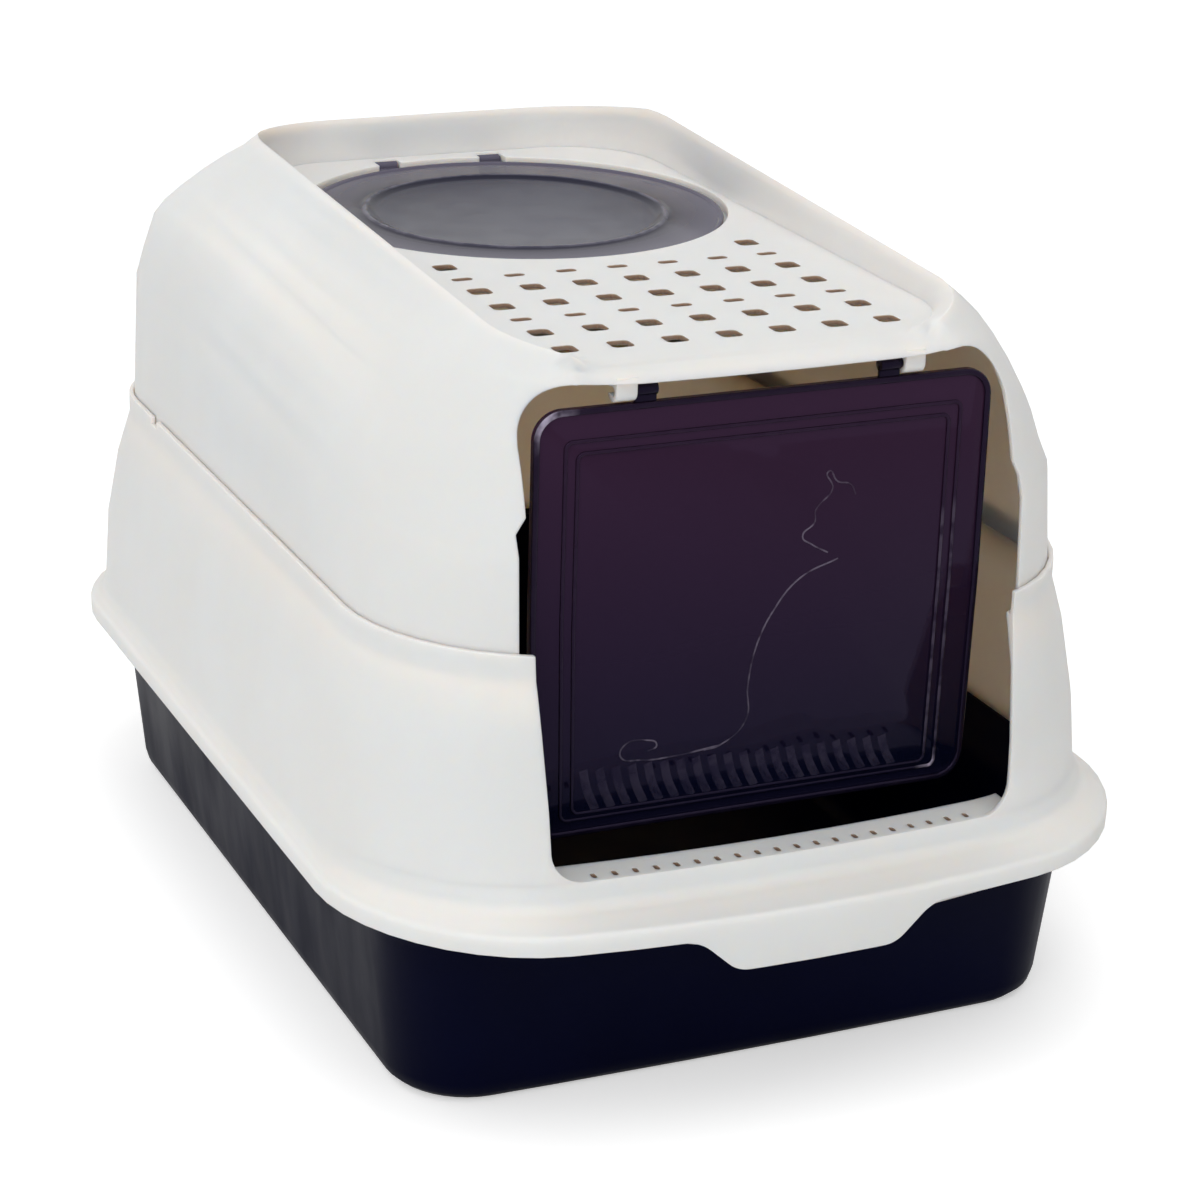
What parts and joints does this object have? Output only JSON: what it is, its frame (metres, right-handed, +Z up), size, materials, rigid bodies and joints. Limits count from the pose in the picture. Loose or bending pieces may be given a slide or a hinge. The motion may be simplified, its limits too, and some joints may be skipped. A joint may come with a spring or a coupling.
{
  "type": "top entry litter box",
  "caption": "Hooded cat litter box: base pan, moulded hood with a swing door at the front and a round top-entry hatch.",
  "frame": {"origin": "centre of the box seen from above, at the height of the surface it stands on", "axes": "+X to the right seen from the front, +Y from the doorway to the rear, +Z up"},
  "size_m": [0.423, 0.5964, 0.386],
  "materials": {
    "pan_plastic": "satin",
    "hood_plastic": "satin",
    "smoked_plastic": "gloss"
  },
  "bodies": {
    "base_pan": {"base_pan": "pan_plastic"},
    "hood_lower": {"hood_lower": "hood_plastic"},
    "hood_upper": {"hood_upper": "hood_plastic"},
    "swing_door": {"swing_door": "smoked_plastic"},
    "hatch_lid": {"hatch_lid": "smoked_plastic"}
  },
  "joints": [
    {"name": "hood_lift", "type": "slide", "parent": "base_pan", "child": "hood_lower", "axis": [0, 0, 1], "range_m": [0, 0.16]},
    {"name": "upper_hood_lift", "type": "slide", "parent": "hood_lower", "child": "hood_upper", "axis": [0, 0, 1], "range_m": [0, 0.12]},
    {"name": "door_swing", "type": "hinge", "parent": "hood_upper", "child": "swing_door", "pos_m": [0, -0.2182, 0.3495], "axis": [1, 0, 0], "range_deg": [-65, 80]},
    {"name": "hatch_hinge", "type": "hinge", "parent": "hood_upper", "child": "hatch_lid", "pos_m": [0, 0.2126, 0.3551], "axis": [-1, 0, 0], "range_deg": [0, 100]}
  ]
}
